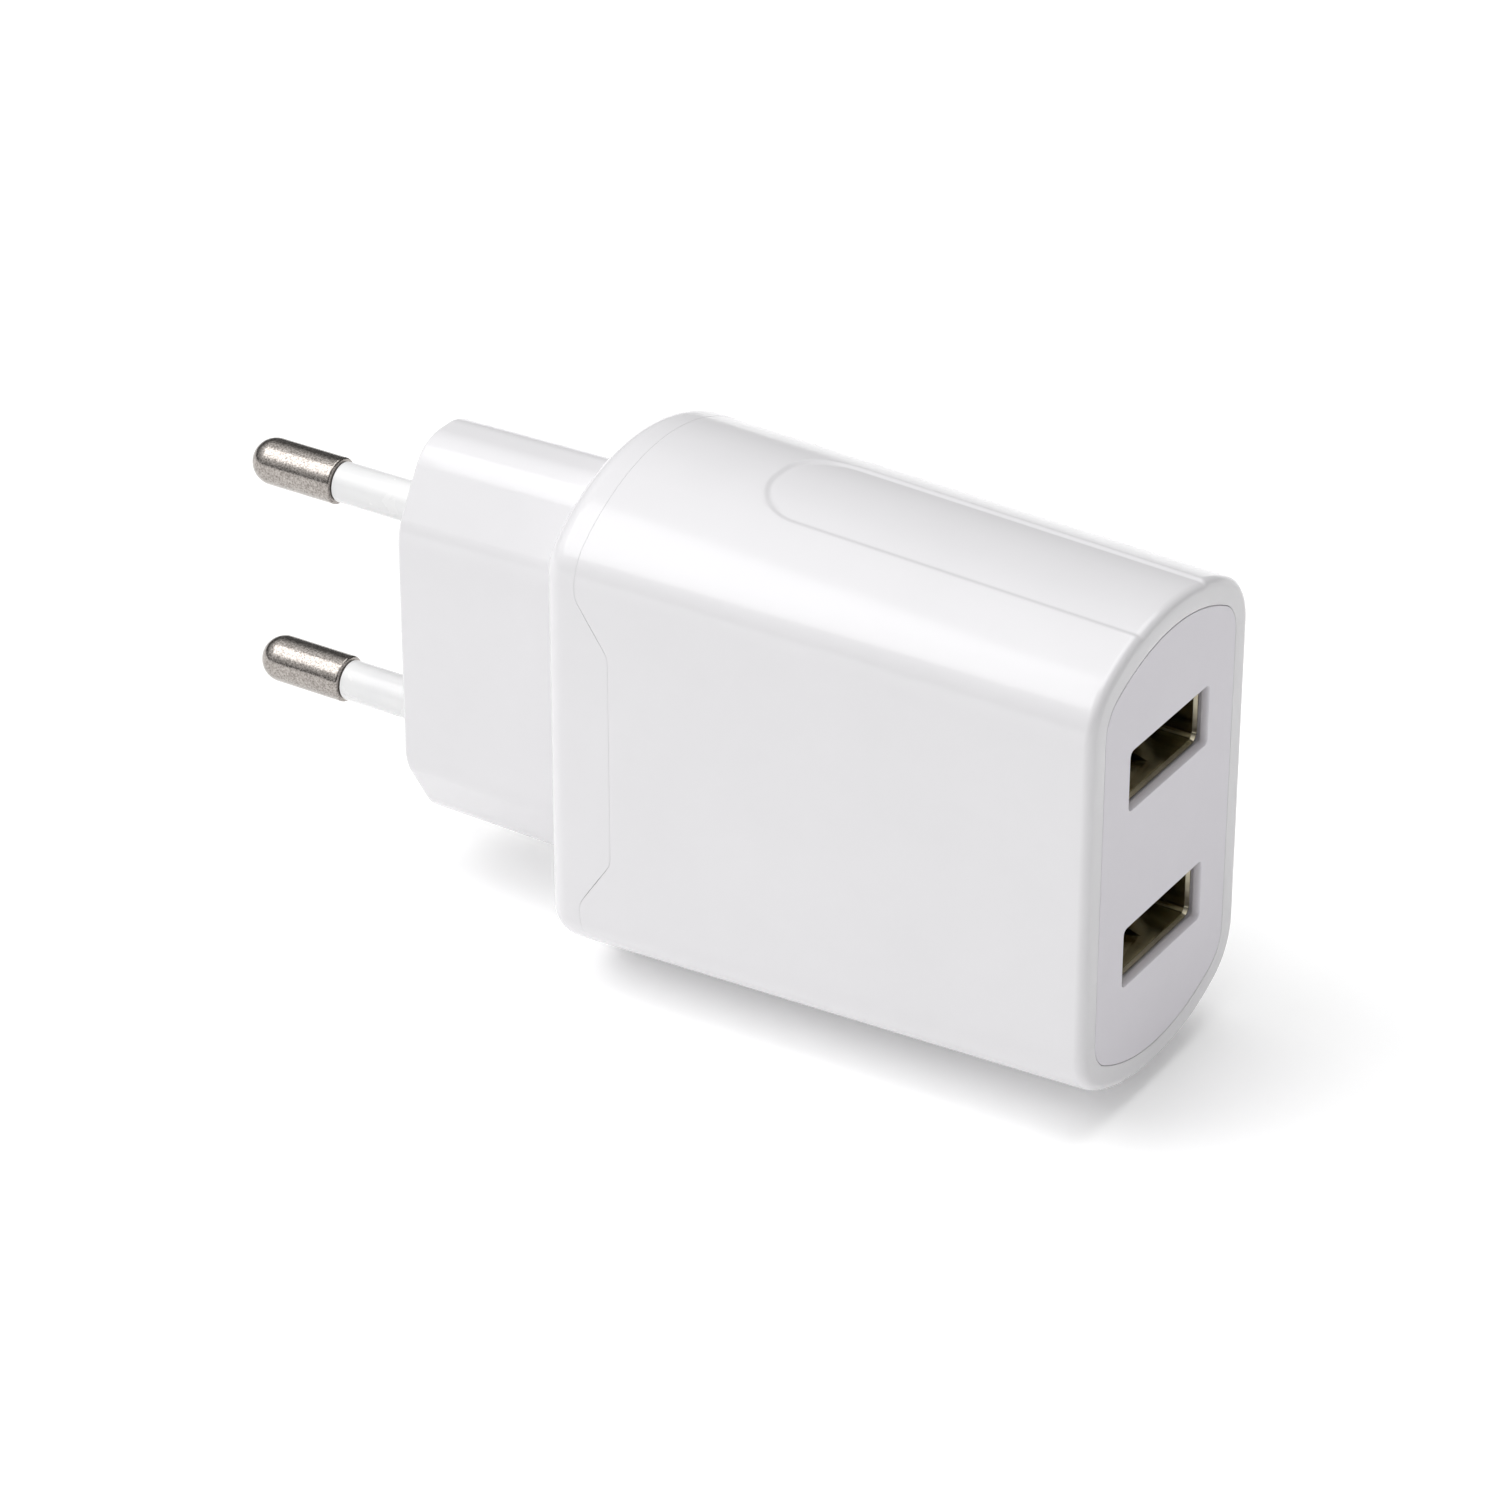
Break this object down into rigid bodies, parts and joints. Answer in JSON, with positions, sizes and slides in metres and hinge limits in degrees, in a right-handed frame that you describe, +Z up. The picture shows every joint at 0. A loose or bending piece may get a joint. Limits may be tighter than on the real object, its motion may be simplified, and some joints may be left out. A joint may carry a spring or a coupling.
{
  "type": "usb wall charger",
  "caption": "White USB wall charger: a tapering case with rounded narrow sides, type A sockets in its end face and a fixed round-pin mains plug block.",
  "frame": {"origin": "centre of the plug's seating face, midway between the pins, where the plug block meets the wall outlet", "axes": "+X out of the wall, from the plug face to the USB face; +Z up, from the lower pin to the upper pin; Y through the thickness, -Y is the broad front face and the circuit board is on the +Y side"},
  "size_m": [0.0858, 0.027, 0.0446],
  "materials": {
    "white_case": "glossy moulded white ABS or polycarbonate blend",
    "white_face": "satin moulded white plastic",
    "white_sleeve": "glossy white nylon overmould",
    "nickel": "satin nickel plating on brass",
    "tinned_steel": "bright tinned steel sheet",
    "gold": "gold flash on phosphor bronze",
    "bronze": "plain phosphor bronze strip",
    "socket_plastic": "moulded natural nylon",
    "board": "green solder mask on glass epoxy",
    "ferrite": "sintered grey ferrite",
    "phenolic": "black phenolic moulding",
    "tape": "yellow polyester film tape over the windings",
    "capacitor_sleeve": "dark shrunk film on an aluminium can",
    "blue_coat": "blue epoxy dip or shrunk film",
    "resistor_coat": "green flameproof coating",
    "chip_epoxy": "black moulded epoxy"
  },
  "bodies": {
    "root": {"bridge_rectifier": "chip_epoxy", "contact_spring_lower": "bronze", "contact_spring_upper": "bronze", "controller_chip": "chip_epoxy", "fusible_resistor": "resistor_coat", "housing_sleeve": "white_case", "input_choke": "ferrite", "main_board": "board", "output_capacitor_lower": "blue_coat", "output_capacitor_upper": "blue_coat", "output_rectifier": "chip_epoxy", "pin_lower": "nickel", "pin_sleeve_lower": "white_sleeve", "pin_sleeve_upper": "white_sleeve", "pin_upper": "nickel", "plug_cap": "white_case", "port_controller_chip": "chip_epoxy", "primary_capacitor_lower": "capacitor_sleeve", "primary_capacitor_upper": "capacitor_sleeve", "safety_capacitor": "blue_coat", "supply_capacitor": "capacitor_sleeve", "transformer_bobbin": "phenolic", "transformer_core_front": "ferrite", "transformer_core_rear": "ferrite", "transformer_winding": "tape", "usb_contact_lower_1": "gold", "usb_contact_lower_2": "gold", "usb_contact_lower_3": "gold", "usb_contact_lower_4": "gold", "usb_contact_upper_1": "gold", "usb_contact_upper_2": "gold", "usb_contact_upper_3": "gold", "usb_contact_upper_4": "gold", "usb_face_plate": "white_face", "usb_insulator_lower": "socket_plastic", "usb_insulator_upper": "socket_plastic", "usb_shell_lower": "tinned_steel", "usb_shell_upper": "tinned_steel"}
  },
  "joints": []
}
